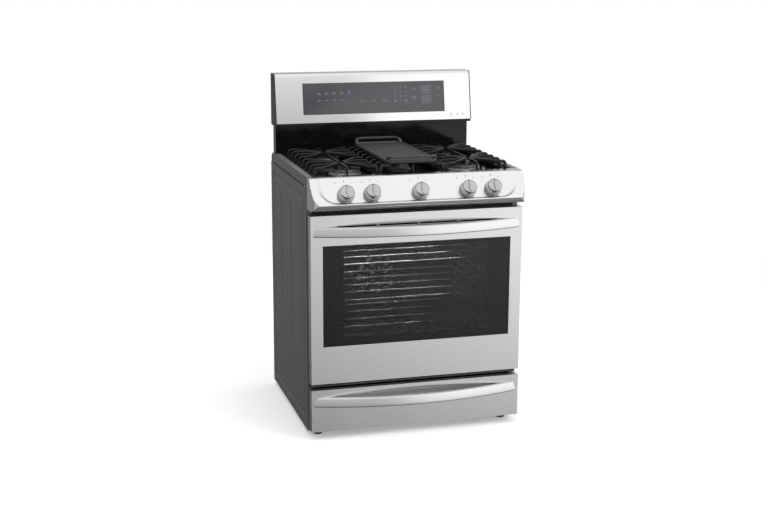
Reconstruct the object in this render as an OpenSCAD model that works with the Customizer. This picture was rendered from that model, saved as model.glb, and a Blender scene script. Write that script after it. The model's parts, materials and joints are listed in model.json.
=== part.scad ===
// Freestanding 30-inch gas range: five burners, convection oven, bottom drawer.
// Millimetres. +X is the user's right, +Y is the back and +Z is up.
// Every module works with y measured from the oven door's front face;
// place() then moves the whole range so the origin is at its bottom centre.

/* [Overall] */
// Width across the side panels
range_w = 760; // [740:2:770]
// Depth from the door's front face to the back panel
body_back = 665; // [655:1:680]
// Height of the cooktop rim above the floor
cooktop_h = 917; // [914:1:920]
// Height of the console's top edge above the floor
console_h = 1212; // [1206:1:1220]

/* [Door and drawer] */
// Width of the door and of the drawer front
door_w = 756; // [740:2:760]
// Height of the door's bottom edge
door_bottom = 201.5; // [200:0.5:204]
// Height of the door's top edge
door_top = 790.5; // [780:1:795]
// Thickness of the door
door_t = 48; // [46:1:48]
// Height of the drawer front's bottom edge
drawer_bottom = 30; // [30:1:33]
// Height of the drawer front's top edge
drawer_top = 180.5; // [175:0.5:181]
// How far each bowed handle stands out from its face
handle_reach = 56; // [50:1:60]

/* [Oven] */
// Half width of the oven cavity
oven_half_w = 300; // [296:1:300]
// Height of the oven's loose floor
oven_floor_h = 262; // [260:1:263]
// Height of the oven's ceiling
oven_top_h = 745; // [742:1:748]
// Heights of the three racks, from the lowest
rack_levels = [343, 470.5, 598]; // [340:0.5:600]

/* [Cooktop] */
// Distances of the five knobs from the centre line
knob_x = [-260, -169, 0, 169, 260]; // [-270:1:270]
// Distance of the side burners from the centre line
burner_x = 215; // [205:1:225]
// Distances of the front and rear burners from the door's face
burner_y = [172, 430]; // [160:1:440]
// Height of the top of the grates
grate_h = 945; // [943:1:948]

/* [Hidden] */

$fn = 48;
eps = 0.01;                           // overlap that fuses touching solids of one piece
sheet = 1.5;                          // usual sheet thickness
half_w = range_w / 2;
half_door = door_w / 2;

// Control panel: a straight face that leans back, between a bottom roll and the cooktop's edge
face_low = [-36.2, 836];               // y and z of the recessed face's lower edge
face_high = [17, 912];                // y and z of its upper edge
face_run = face_high - face_low;
face_len = norm(face_run);
face_tilt = atan2(face_run[0], face_run[1]);   // how far the face leans back
knob_up = 31.7;                       // from the face's lower edge to the knobs' centres
knob_at = face_low + face_run / face_len * knob_up;
knob_len = 36;                        // from the face to the knob's crown
knob_r = 28;
knob_gap = 7;                         // from the face to the knob's skirt
stem_r = 4;
running = 0.05;                       // radial clearance of every running fit
grip_h = 5;                           // height of the knobs' pointer blade above the crown
grip_reach = 21.5;                    // from a knob's axis to its blade's lower end
valve_depth = 50;                     // from the face to the valves' backs
manifold_depth = 62;                  // from the face to the manifold's axis
manifold_at = knob_at + manifold_depth * [cos(face_tilt), -sin(face_tilt)];
regulator_x = 300;
outlet_z = 12;                        // valve outlet, from the valve's back
outlet_len = 20;
outlet_at = knob_at + (valve_depth - outlet_z) * [cos(face_tilt), -sin(face_tilt)]
    + outlet_len * [sin(face_tilt), cos(face_tilt)];
knob_front = knob_at[0] - cos(face_tilt) * knob_len - sin(face_tilt) * grip_reach;
mid_y = (body_back + knob_front) / 2;

// Body
body_front = 56;                      // front edge of the side panels
side_t = 1.2;
side_bottom = 18;
side_top = 879;
side_seam = 4;                        // gap between a side panel and the trim above it
half_in = half_w - side_t;
back_in = body_back - 4;              // inner face of the back panel's seat on the side panels
rib_y = [147, 310, 473];
rib_low = 110;
rib_high = 790;
border_y = [100, 622];
border_z = [64, 836];
rib_w = 28;
rib_d = 2.4;
return_w = 20;
base_low = side_bottom + side_t;
foot_x = 341;
foot_y = [76, 618];

// Oven
oven_front = body_front + side_t;
kick_front = 30;                      // front of the rail between the door and the drawer
kick_z = [183, 189];
oven_back = 545;
liner_t = 1.5;
sump_h = 228;
rack_front = 88;
rack_back = 500;
rack_half = 292.5;
rack_wire = 3.2;
ledge_pitch = 63.75;
fan_h = 445;
fan_r = 76;
fan_cover_r = 102;
motor_front = oven_back + liner_t;

// Door
hinge_y = door_t / 2;
hinge_z = door_bottom + 20.5;
hinge_x = 345;
hinge_pin_r = 5;
glass_half = 335.6;
glass_low = 333.7;
glass_high = 686.4;
window_half = 261;
window_low = 362;
window_high = 669;
handle_z = 735;
drawer_handle_z = 137;
handle_half = 369;
handle_t = 14;
handle_tall = 34;

// Cooktop
pan_floor = 899;
pan_half = 352;
pan_front = 64;
pan_back = 584;
deck_z = 913;
centre_burner = [0, 300];
head_top = 922;
grate_bar = 9;
grate_rail = [903, 914];              // bottom and top of the low rails round each grate
grate_front = 66;
grate_back = 550;

// Console
riser_front = 596;
riser_back = 640;
console_low = 1029;
console_foot = 560;
console_lean = 30;
console_back = 654;
console_half = half_w - 3.5;
bevel_low = console_h - 9;
console_tilt = atan2(console_lean, bevel_low - console_low);
touch_half = 275;
touch_low = 1061;
touch_high = 1176;

enamel = [0.06, 0.06, 0.065];
steel = [0.78, 0.78, 0.79];
side_grey = [0.3, 0.3, 0.31];
iron = [0.1, 0.1, 0.1];
galvanised = [0.62, 0.64, 0.65];

module place() { translate([0, -mid_y, 0]) children(); }
module both_sides() { children(); mirror([1, 0, 0]) children(); }
// A box from its low corner to its high corner
module block(low, high) { translate(low) cube(high - low); }
// A block centred on x = 0
module wide(half, low, high) { block([-half, low[0], low[1]], [half, high[0], high[1]]); }
// A round rod between two points
module rod(a, b, r) {
    v = b - a;
    translate(a) rotate([0, acos(v[2] / norm(v)), atan2(v[1], v[0])]) cylinder(r = r, h = norm(v));
}
// A flat bar with vertical sides between two points on one level
module bar(a, b, low, high, w = grate_bar) {
    v = b - a;
    translate([a[0], a[1], low]) rotate([0, 0, atan2(v[1], v[0])])
        translate([0, -w / 2, 0]) cube([norm(v), w, high - low]);
}
// Rectangle with rounded corners, from circles and squares
module soft_square(low, high, r) {
    translate([low[0] + r, low[1]]) square([high[0] - low[0] - 2 * r, high[1] - low[1]]);
    translate([low[0], low[1] + r]) square([high[0] - low[0], high[1] - low[1] - 2 * r]);
    for (x = [low[0] + r, high[0] - r]) for (y = [low[1] + r, high[1] - r]) translate([x, y]) circle(r);
}
// Rectangle with its corners cut off
module cut_square(low, high, c) {
    polygon([[low[0] + c, low[1]], [high[0] - c, low[1]], [high[0], low[1] + c], [high[0], high[1] - c],
        [high[0] - c, high[1]], [low[0] + c, high[1]], [low[0], high[1] - c], [low[0], low[1] + c]]);
}
// A profile in y and z, drawn out along x
module along_x(x0, x1) { translate([x0, 0, 0]) rotate([90, 0, 90]) linear_extrude(x1 - x0) children(); }
// An outline in x and z, drawn out along y
module along_y(y0, y1) { translate([0, y1, 0]) rotate([90, 0, 0]) linear_extrude(y1 - y0) children(); }

// ---- Body ----

// A pressed rib's trapezoid, open towards +x
module rib_outline(w, d) { polygon([[0, -w / 2 + d], [d + eps, -w / 2], [d + eps, w / 2], [0, w / 2 - d]]); }
module side_ribs(w, d, x) {
    for (y = rib_y) translate([x, y, rib_low]) linear_extrude(rib_high - rib_low) rib_outline(w, d);
    for (y = border_y) translate([x, y, border_z[0]])
        linear_extrude(border_z[1] - border_z[0]) rib_outline(w, d);
    for (z = border_z) translate([x + 0.3, 0, z]) along_y(border_y[0], border_y[1])
        rib_outline(w - 1, d - 0.3);
}
module side_sheet() {
    difference() {
        union() {
            block([half_in, body_front, side_bottom], [half_w, body_back, side_top]);
            side_ribs(rib_w, rib_d + side_t, half_in - rib_d);
            block([half_w - return_w, body_front, side_bottom], [half_in + eps, body_front + side_t,
                side_top]);
            block([half_w - return_w, body_front, side_bottom], [half_in + eps, body_back,
                side_bottom + side_t]);
            block([half_w - return_w, back_in - side_t, side_bottom], [half_in + eps, back_in, side_top]);
        }
        side_ribs(rib_w - 2, rib_d, half_w - rib_d);
        for (z = concat(screw_z, upper_screw_z))
            translate([screw_x, back_in + 1, z]) rotate([90, 0, 0]) cylinder(r = 2.2, h = 4);
    }
}
module side_panel_right() { color(side_grey) place() side_sheet(); }
module side_panel_left() { color(side_grey) place() mirror([1, 0, 0]) side_sheet(); }

screw_x = 366;
screw_z = [60, 300, 540, 750];
upper_screw_z = [800, 860];
screw_at = [for (x = [-screw_x, screw_x]) for (z = concat(screw_z, x < 0 ? upper_screw_z : [])) [x, z]];
back_seam = 776;
back_top = 905;
gas_way = 240;                        // the gas line comes in beside the upper panel, past this x
gland_at = [-250, 110];
gland_r = 11;
gland_len = 8;
module back_panel() {
    out = back_in + side_t;
    color(galvanised) place() difference() {
        union() {
            along_y(back_in, out) difference() {
                translate([-half_in, base_low]) square([2 * half_in, back_seam - base_low]);
                for (x = [-200:50:200]) for (z = [640, 700, 760]) translate([x - 18, z]) square([36, 8]);
                for (at = screw_at) translate(at) circle(2.2);
            }
            // gland for the supply lead
            translate([gland_at[0], out, gland_at[1]]) rotate([90, 0, 0]) cylinder(r = 16, h = gland_len);
        }
        translate([gland_at[0], out + 1, gland_at[1]]) rotate([90, 0, 0])
            cylinder(r = gland_r, h = gland_len + 2);
    }
}
module upper_back_panel() {
    color(galvanised) place() along_y(back_in, back_in + side_t) difference() {
        translate([-half_in, back_seam + 1]) square([half_in + gas_way, back_top - back_seam - 1]);
        for (at = screw_at) translate(at) circle(2.2);
    }
}

module base_frame() {
    color(galvanised) place() {
        difference() {
            both_sides() {
                block([308, body_front + side_t, base_low], [half_in, back_in - side_t, base_low + 2]);
                block([308, body_front + side_t, base_low + 2], [310, back_in - side_t, base_low + 9]);
            }
            both_sides() for (y = foot_y) translate([foot_x, y, 0]) cylinder(r = 5 + running, h = 60);
        }
        wide(308 + eps, [body_front + 6, base_low], [body_front + 36, base_low + 2]);
        wide(308 + eps, [body_back - 40, base_low], [back_in - side_t, base_low + 2]);
        wide(308, [back_in - side_t - 1.5, base_low + 2 - eps], [back_in - side_t, base_low + 60]);
    }
}

module levelling_feet() {
    color("black") place() both_sides() for (y = foot_y) translate([foot_x, y, 0]) {
        rotate_extrude() polygon([[0, 0], [15, 0], [17, 2], [17, 6], [12, 9], [0, 9]]);
        translate([0, 0, 9]) cylinder(r = 9, h = 5, $fn = 6);
        translate([0, 0, 14]) cylinder(r = 5, h = 24);
    }
}

// ---- Oven ----

module oven_liner() {
    frame_y = oven_front;
    color(enamel) place() {
        difference() {
            union() {
                wide(oven_half_w + liner_t, [frame_y, sump_h - liner_t], [oven_back + liner_t,
                    oven_top_h + liner_t]);
                wide(half_in - 3, [frame_y, 190], [frame_y + sheet, 800]);
                // rail behind the gap between the door and the drawer
                wide(half_in - 3, [kick_front, kick_z[0]], [body_front - 0.2, kick_z[1]]);
                wide(half_w - return_w - 1, [kick_front, kick_z[0]], [frame_y + sheet, kick_z[1]]);
            }
            wide(oven_half_w, [frame_y + sheet, sump_h], [oven_back, oven_top_h]);
            wide(oven_half_w, [frame_y - 1, oven_floor_h], [frame_y + 5, oven_top_h]);
            // shaft, gas tubes and lamp pass the back wall
            translate([0, oven_back + 10, fan_h]) rotate([90, 0, 0]) cylinder(r = 8, h = 20);
            for (z = [246, 728]) translate([0, oven_back + 10, z]) rotate([90, 0, 0])
                cylinder(r = 9.5, h = 20);
            translate([lamp_at[0], oven_back + 10, lamp_at[1]]) rotate([90, 0, 0]) cylinder(r = 18.5, h = 20);
            both_sides() block([hinge_x - 16, 40, hinge_z - 17], [hinge_x + 16, frame_y + 5, hinge_z + 17]);
        }
        // ladders that carry the racks
        both_sides() for (i = [0:5])
            block([oven_half_w - 10, 84, rack_levels[0] + i * ledge_pitch - rack_wire - 6.3],
                [oven_half_w + eps, 512, rack_levels[0] + i * ledge_pitch - rack_wire - 0.3]);
        both_sides() block([oven_half_w - 12, 64, oven_floor_h - sheet], [oven_half_w + eps, oven_back,
            oven_floor_h]);
    }
}

module oven_floor() {
    color(enamel) place() difference() {
        wide(oven_half_w - 1, [64, oven_floor_h], [oven_back - 4, oven_floor_h + 1.2]);
        both_sides() for (y = [120:45:480]) block([262, y, oven_floor_h - 1], [282, y + 24,
            oven_floor_h + 3]);
    }
}

module door_gasket() {
    r = 4.4;
    y = oven_front - r;
    x = oven_half_w + 9;
    low = oven_floor_h - 6.5;
    high = oven_top_h + 7;
    color([0.25, 0.25, 0.25]) place() {
        for (z = [low, high]) rod([-x, y, z], [x, y, z], r);
        for (s = [-x, x]) rod([s, y, low], [s, y, high], r);
        for (s = [-x, x]) for (z = [low, high]) translate([s, y, z]) sphere(r);
    }
}

module insulation() {
    t = 26;
    g = 0.5;
    in_x = oven_half_w + liner_t + g;
    in_z = oven_top_h + liner_t + g;
    in_y = oven_back + liner_t + g;
    color([0.85, 0.8, 0.55]) place() difference() {
        wide(in_x + t, [oven_front + 8, 264], [in_y + t, in_z + t]);
        wide(in_x, [oven_front, 200], [in_y, in_z]);
        translate([0, in_y + t + 1, fan_h]) rotate([90, 0, 0]) cylinder(r = 44, h = t + 4);
        translate([0, in_y + t + 1, 728]) rotate([90, 0, 0]) cylinder(r = 12, h = t + 4);
        translate([lamp_at[0], in_y + t + 1, lamp_at[1]]) rotate([90, 0, 0]) cylinder(r = 24, h = t + 4);
    }
}

module oven_burners() {
    z = 246;
    color(galvanised) place() {
        // bake burner, a ported tube under the oven floor
        difference() {
            union() {
                rod([0, 100, z], [0, 470, z], 15);
                rod([0, 469, z], [0, oven_back + 30, z], 9);
                for (y = [110, 440]) block([-60, y, sump_h], [60, y + 2, z]);
            }
            for (y = [130:24:420]) rod([-20, y, z + 4], [20, y, z + 4], 2);
        }
        // broil burner, a flat box with a row of ports, under the ceiling
        difference() {
            wide(150, [180, 716], [420, oven_top_h - 4]);
            for (x = [-130:20:130]) for (y = [200:40:400]) block([x - 4, y - 8, 715], [x + 4, y + 8, 719]);
        }
        for (x = [-120, 120]) block([x - 8, 240, oven_top_h - 4], [x + 8, 360, oven_top_h]);
        rod([0, 419, 728], [0, oven_back + 34, 728], 8);
    }
}

module fan_cover() {
    color([0.22, 0.22, 0.23]) place() translate([0, oven_back, fan_h]) rotate([90, 0, 0]) difference() {
        union() {
            cylinder(r = fan_cover_r, h = 40);
            cylinder(r = fan_cover_r + 12, h = 1.5);
        }
        translate([0, 0, -1]) cylinder(r = fan_cover_r - 1.5, h = 39.5);
        for (i = [0:11]) rotate([0, 0, i * 30]) for (q = [24, 48, 72])
            translate([q, -q * 0.16, 30]) cube([14, q * 0.32, 15]);
        for (i = [0:17]) rotate([0, 0, i * 20]) translate([fan_cover_r - 5, -9, 12]) cube([12, 18, 10]);
    }
}

motor_shaft_r = 4;
module fan_motor() {
    color(galvanised) place() translate([0, motor_front + 0.5, fan_h]) rotate([-90, 0, 0]) difference() {
        union() {
            cylinder(r = 40, h = 4);
            translate([0, 0, 4]) cylinder(r = 34, h = 46);
            translate([0, 0, 50]) cylinder(r = 12, h = 8);
        }
        translate([0, 0, -1]) cylinder(r = motor_shaft_r + running, h = 42);
    }
}

module convection_fan() {
    color(galvanised) place() translate([0, oven_back - 6, fan_h]) rotate([90, 0, 0]) {
        cylinder(r = fan_r, h = 1.5);
        cylinder(r = 13, h = 22);
        for (i = [0:13]) rotate([0, 0, i * 360 / 14]) translate([38, 0, 1]) rotate([0, 0, 28])
            cube([34, 1.5, 20]);
        translate([0, 0, -42]) cylinder(r = motor_shaft_r, h = 44);
    }
}

lamp_at = [225, 690];
module oven_lamp() {
    color([0.95, 0.93, 0.85]) place() translate([lamp_at[0], oven_back, lamp_at[1]]) rotate([90, 0, 0]) {
        translate([0, 0, -24]) cylinder(r = 18, h = 24);
        cylinder(r = 30, h = 5);
        translate([0, 0, 5]) rotate_extrude() polygon([[0, 0], [26, 0], [26, 8], [20, 16], [10, 20],
            [0, 20]]);
    }
}

// Wire rack: outer frame, three cross wires below, and the wires that carry the food
module rack(level) {
    w = rack_wire;
    inner = rack_half - 12;
    color([0.75, 0.75, 0.76]) place() {
        for (y = [rack_front, rack_back]) rod([-rack_half, y, level], [rack_half, y, level], w);
        for (s = [-1, 1]) rod([s * rack_half, rack_front, level], [s * rack_half, rack_back, level], w);
        for (s = [-1, 1]) for (y = [rack_front, rack_back]) translate([s * rack_half, y, level]) sphere(w);
        for (y = [200, 300, 400]) rod([-rack_half, y, level], [rack_half, y, level], 2.4);
        for (i = [0:22]) {
            x = -inner + i * 2 * inner / 22;
            rod([x, rack_front, level + 1.6], [x, rack_back, level + 1.6], 1.9);
        }
    }
}
module rack_lower() { rack(rack_levels[0]); }
module rack_middle() { rack(rack_levels[1]); }
module rack_upper() { rack(rack_levels[2]); }

// ---- Cooktop ----

module cooktop() {
    color(enamel) place() difference() {
        union() {
            wide(half_in, [body_front + 2, deck_z], [riser_front, deck_z + 1.5]);
            wide(pan_half + sheet, [pan_front - sheet, pan_floor - sheet], [pan_back + sheet, deck_z + 1]);
            for (b = side_burners) translate([b[0], b[1], pan_floor - 1]) cylinder(r = b[2] + 14, h = 3);
            wide(half_in, [body_front + 2, 886], [body_front + 3.5, deck_z]);
        }
        difference() {
            translate([0, 0, pan_floor]) linear_extrude(40)
                soft_square([-pan_half, pan_front], [pan_half, pan_back], 20);
            for (b = side_burners) translate([b[0], b[1], pan_floor - 1]) cylinder(r = b[2] + 14, h = 3);
        }
        for (b = side_burners) translate([b[0], b[1], pan_floor - 5]) cylinder(r = 20, h = 12);
        translate([centre_burner[0], centre_burner[1], pan_floor - 5]) cylinder(r = 20, h = 12);
    }
}

module cooktop_trims() {
    color(side_grey) place() both_sides() {
        block([half_in, body_front, side_top + side_seam], [half_w, riser_back, cooktop_h]);
        block([pan_half + 6, body_front + 2, deck_z + 1.5], [half_in + eps, riser_front, cooktop_h]);
        block([half_in - 22, body_front, side_top + side_seam], [half_in + eps, body_front + side_t, deck_z]);
    }
}

// x, y and radius of the four round burners
side_burners = [[-burner_x, burner_y[0], 58], [burner_x, burner_y[0], 58],
    [-burner_x, burner_y[1], 46], [burner_x, burner_y[1], 40]];
oval_r = 34;
oval_half = 62;
module oval(r, low, high) {
    translate([0, centre_burner[1], low]) linear_extrude(high - low) {
        for (s = [-1, 1]) translate([0, s * oval_half]) circle(r);
        translate([-r, -oval_half]) square([2 * r, 2 * oval_half]);
    }
}
module head(r) {
    base = pan_floor + 2;
    difference() {
        rotate_extrude($fn = 72) polygon([[0, base], [r, base], [r, base + 3], [r - 6, base + 7],
            [r - 7, head_top], [0, head_top]]);
        translate([0, 0, base - 1]) cylinder(r = r - 14, h = head_top - base - 6);
        for (i = [0:23]) rotate([0, 0, i * 15]) translate([r - 16, -1.5, head_top - 8]) cube([20, 3, 5]);
    }
}
module burner_heads() {
    color([0.72, 0.72, 0.7]) place() {
        for (b = side_burners) translate([b[0], b[1], 0]) head(b[2]);
        difference() {
            oval(oval_r, pan_floor, head_top);
            oval(oval_r - 9, pan_floor - 1, head_top - 6);
        }
    }
}
module burner_caps() {
    color(iron) place() {
        for (b = side_burners) translate([b[0], b[1], head_top]) rotate_extrude($fn = 72)
            polygon([[0, 0], [b[2] - 5, 0], [b[2] - 4, 2], [b[2] - 5, 5], [b[2] - 9, 7], [0, 8]]);
        oval(oval_r + 1, head_top, head_top + 5);
        oval(oval_r - 4, head_top + 5, head_top + 7);
    }
}
module igniters() {
    color("white") place() {
        for (b = side_burners) translate([b[0], b[1] + b[2] + 5, pan_floor + 2]) {
            cylinder(r = 3.5, h = 12);
            cylinder(r = 1, h = 18);
        }
        translate([0, centre_burner[1] + oval_half + oval_r + 5, pan_floor]) {
            cylinder(r = 3.5, h = 14);
            cylinder(r = 1, h = 20);
        }
    }
}

// Where each valve's tube ends, under its burner
tube_ends = [for (b = [side_burners[0], side_burners[2], centre_burner, side_burners[3], side_burners[1]]) b];
module burner_tubes() {
    color([0.8, 0.8, 0.75]) place() for (i = [0:4]) {
        bend = [knob_x[i], outlet_at[0] + 12 * sin(face_tilt), outlet_at[1] + 12 * cos(face_tilt)];
        to = [tube_ends[i][0], tube_ends[i][1], 882];
        rod([knob_x[i], outlet_at[0], outlet_at[1]], bend, 4);
        translate(bend) sphere(5);
        rod(bend, to, 4);
        translate([to[0], to[1], 874]) cylinder(r = 9, h = 31);
    }
}

// Cast grate over x0..x1: a low rail all round, fingers that rise from it, and a cross over each burner
finger_y = [for (i = [0:7]) 84 + i * 62];
module grate_section(x0, x1) {
    cx = (x0 + x1) / 2;
    half = (x1 - x0) / 2;
    low = grate_h - 13;
    rails = [grate_front + grate_bar / 2, grate_back - grate_bar / 2];
    color(iron) place() {
        for (s = [-1, 1]) {
            rail_x = cx + s * (half - grate_bar / 2);
            bar([rail_x, grate_front + 6], [rail_x, grate_back - 6], grate_rail[0], grate_rail[1]);
            // feet in the corners, standing on the pan
            foot_mid = cx + s * (half - 9);
            for (y = [grate_front + 8, grate_back - 8])
                block([foot_mid - 5, y - 5, pan_floor], [foot_mid + 5, y + 5, grate_rail[1] - 0.5]);
        }
        for (y = rails) bar([x0 + 7, y], [x1 - 7, y], grate_rail[0], grate_rail[1]);
        // fingers from both sides, turned down to the rail at their outer ends
        for (y = finger_y) for (s = [-1, 1]) {
            reach = min([for (b = burner_y) abs(y - b)]) < 30 ? half - 18 : half - 62;
            outer = cx + s * half;
            bar([outer - s * reach, y], [outer, y], low, grate_h);
            block([outer - (s > 0 ? 8.6 : 0), y - 4.1, grate_rail[1] - 1],
                [outer + (s > 0 ? 0 : 8.6), y + 4.1, low + 2]);
        }
        // diagonals and spine that cross over each burner
        for (b = burner_y) {
            bar([cx - 74, b - 98], [cx + 74, b + 98], low + 0.4, grate_h - 0.4, 7.6);
            bar([cx - 74, b + 98], [cx + 74, b - 98], low + 0.8, grate_h - 0.8, 8);
        }
        bar([cx, rails[0]], [cx, rails[1]], low + 1.2, grate_h - 1.2, 7.2);
        for (y = rails) block([cx - 4.2, y - 4, grate_rail[1] - 1], [cx + 4.2, y + 4, low + 2.4]);
        bar([cx - 74, mean(burner_y)], [cx + 74, mean(burner_y)], low + 1.6, grate_h - 1.6, 6.8);
    }
}
function mean(pair) = (pair[0] + pair[1]) / 2;
module grate_left() { grate_section(-346, -120); }
module grate_centre() { grate_section(-117, 117); }
module grate_right() { grate_section(120, 346); }

griddle_half = 92;
griddle_y = [76, 536];
module griddle() {
    top = grate_h + 14;
    color([0.16, 0.16, 0.165]) place() {
        difference() {
            translate([0, 0, grate_h]) linear_extrude(top - grate_h)
                soft_square([-griddle_half, griddle_y[0]], [griddle_half, griddle_y[1]], 22);
            translate([0, 0, top - 5]) linear_extrude(10)
                soft_square([-griddle_half + 7, griddle_y[0] + 7], [griddle_half - 7, griddle_y[1] - 7], 16);
        }
        // a lifting loop at each end
        for (e = [[griddle_y[0], -1], [griddle_y[1], 1]]) {
            for (s = [-62, 62]) bar([s, e[0] - e[1] * 14], [s, e[0] + e[1] * 14], top - 6, top + 16, 11);
            bar([-67.5, e[0] + e[1] * 14], [67.5, e[0] + e[1] * 14], top + 6, top + 16, 12);
        }
    }
}

// ---- Control panel and gas valves ----

// Turns +z to a knob's axis and +y to up the face, at one knob's centre on the face
module on_face(x, out = 0) {
    translate([x, knob_at[0], knob_at[1]]) rotate([90 - face_tilt, 0, 0]) translate([0, 0, out]) children();
}
proud = 6;
panel_low = 808;
panel_front = -46;                    // where the rounded front corners' plan begins
// Outline of the panel's section in y and z, inset by t
module panel_section(t) {
    n = [-cos(face_tilt), sin(face_tilt)];
    a = face_low + n * (proud - t);
    b = face_high + n * (proud - t);
    polygon([[body_front - t, panel_low + t], [-6, panel_low + t], [-22, panel_low + 3 + t],
        [-34 + t, panel_low + 8.5 + t * 0.6], [-40 + t, panel_low + 17], [-42.5 + t, panel_low + 27],
        a + [1.5, 6], b - [0.6, 1], [b[0] + 5, cooktop_h - t], [body_front - t, cooktop_h - t]]);
}
// The panel's plan outline, with its two front corners rounded
module panel_plan(t) {
    r = 40;
    front = -80;
    difference() {
        translate([-half_door + t, front]) square([door_w - 2 * t, body_front - front - t]);
        both_sides2d() translate([half_door - t - r, panel_front + t]) difference() {
            translate([0, -40]) square([r + 1, r + 40]);
            translate([0, r]) circle(r, $fn = 96);
        }
    }
}
module both_sides2d() { children(); mirror([1, 0]) children(); }
module panel_solid(t) {
    intersection() {
        along_x(-half_door + t, half_door - t) panel_section(t);
        translate([0, 0, 800]) linear_extrude(130) panel_plan(t);
    }
}
module control_panel() {
    color(steel) place() difference() {
        panel_solid(0);
        difference() {
            panel_solid(sheet);
            on_face(0) translate([0, 0, -2 * sheet]) linear_extrude(20) recess_outline(3);
        }
        on_face(0) linear_extrude(30) recess_outline(0);
        wide(half_door - 8, [body_front - 3, panel_low + 6], [body_front + 7, cooktop_h - 17]);
        for (x = knob_x) on_face(x, -20) cylinder(r = 7, h = 40);
    }
}
// Outline of the sunk face, with its two lower corners rounded
module recess_outline(grow) {
    r = 38;
    w = 346 + grow;
    low = -knob_up - grow;
    translate([-w, low + r]) square([2 * w, face_len + 30]);
    translate([-w + r, low]) square([2 * (w - r), r + 1]);
    for (s = [-1, 1]) translate([s * (w - r), low + r]) circle(r);
}
module knob_bezels() {
    color([0.7, 0.7, 0.7]) place() for (x = knob_x) on_face(x) difference() {
        rotate_extrude($fn = 72) polygon([[7, 0], [30, 0], [30, 1.5], [29, 3], [27.5, 3.4], [25.5, 2],
            [7, 2]]);
    }
}
module gas_manifold() {
    at = manifold_at;
    color([0.75, 0.72, 0.6]) place() {
        rod([-290, at[0], at[1]], [regulator_x, at[0], at[1]], 8);
        for (x = knob_x) on_face(x, -manifold_depth) cylinder(r = 6.5, h = manifold_depth - valve_depth);
        translate([regulator_x, at[0], at[1]]) sphere(8);
        rod([regulator_x, at[0], at[1]], [regulator_x, 600, at[1]], 8);
    }
}
module gas_valves() {
    color([0.75, 0.65, 0.35]) place() for (x = knob_x) on_face(x, -valve_depth) difference() {
        union() {
            cylinder(r = 13, h = 26);
            translate([-17, -8, 22]) cube([34, 16, 4]);
            translate([0, 0, outlet_z]) rotate([-90, 0, 0]) cylinder(r = 6, h = outlet_len);
        }
        translate([0, 0, 6]) cylinder(r = stem_r + running, h = 30);
    }
}
module valve_stem(i) {
    color([0.8, 0.8, 0.8]) place() on_face(knob_x[i], -valve_depth + 6.5)
        cylinder(r = stem_r, h = valve_depth - 6.5 + 24);
}
module valve_stem_1() { valve_stem(0); }
module valve_stem_2() { valve_stem(1); }
module valve_stem_3() { valve_stem(2); }
module valve_stem_4() { valve_stem(3); }
module valve_stem_5() { valve_stem(4); }

module knob(i) {
    top = knob_len - grip_h;
    color([0.72, 0.72, 0.73]) place() on_face(knob_x[i]) difference() {
        union() {
            rotate_extrude($fn = 72) polygon([[0, knob_gap], [knob_r, knob_gap], [knob_r, knob_gap + 4],
                [knob_r - 1.5, knob_gap + 6], [knob_r - 2, top - 2.5], [knob_r - 4.5, top], [0, top]]);
            intersection() {
                translate([-4, -grip_reach, top - 4]) cube([8, grip_reach + knob_r, grip_h + 4]);
                translate([0, 0, top - 5]) cylinder(r = knob_r - 2, h = grip_h + 5);
            }
        }
        difference() {
            translate([0, 0, knob_gap - 1]) cylinder(r = knob_r - 4.5, h = 14);
            translate([0, 0, knob_gap - 2]) cylinder(r = 9, h = 16);
        }
        translate([0, 0, knob_gap - 1]) cylinder(r = stem_r + running, h = 28 - knob_gap + 1);
    }
}
module knob_1() { knob(0); }
module knob_2() { knob(1); }
module knob_3() { knob(2); }
module knob_4() { knob(3); }
module knob_5() { knob(4); }

module gas_regulator() {
    color([0.6, 0.62, 0.63]) place() translate([regulator_x, 600, manifold_at[1]]) rotate([-90, 0, 0])
        difference() {
        union() {
            cylinder(r = 12, h = 12);
            translate([-24, -20, 12]) cube([48, 40, 26]);
            translate([0, 0, 38]) cylinder(r = 15, h = 18);
            translate([0, -20, 25]) rotate([90, 0, 0]) cylinder(r = 20, h = 16);
        }
        translate([0, 0, 34]) cylinder(r = 9.2, h = 30);
    }
}

// ---- Backguard and console ----

module backguard() {
    color(enamel) place() {
        difference() {
            wide(half_w - 5, [riser_front, deck_z - 30], [riser_back, console_low - 9]);
            wide(half_w - 6.5, [riser_front + sheet, deck_z - 40], [riser_back - sheet,
                console_low - 9 - sheet]);
        }
        // strip with the oven's vent slots, under the console
        difference() {
            wide(half_w, [console_foot + 8, console_low - 9], [console_back, console_low]);
            wide(half_w - 30, [riser_front + 4, console_low - 7], [console_back - 6, console_low + 1]);
            for (x = [-340:20:340]) block([x - 7, console_foot + 14, console_low - 12],
                [x + 7, riser_front - 6, console_low + 1]);
        }
    }
}

// Section of the console in y and z, grown by g
module console_section(g) {
    polygon([[console_foot - g, console_low], [console_foot + console_lean - g, bevel_low],
        [console_foot + console_lean + 5 - g, console_h - 2 + g], [console_foot + console_lean + 12,
            console_h + g],
        [console_back + g, console_h + g], [console_back + g, console_low]]);
}
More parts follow.
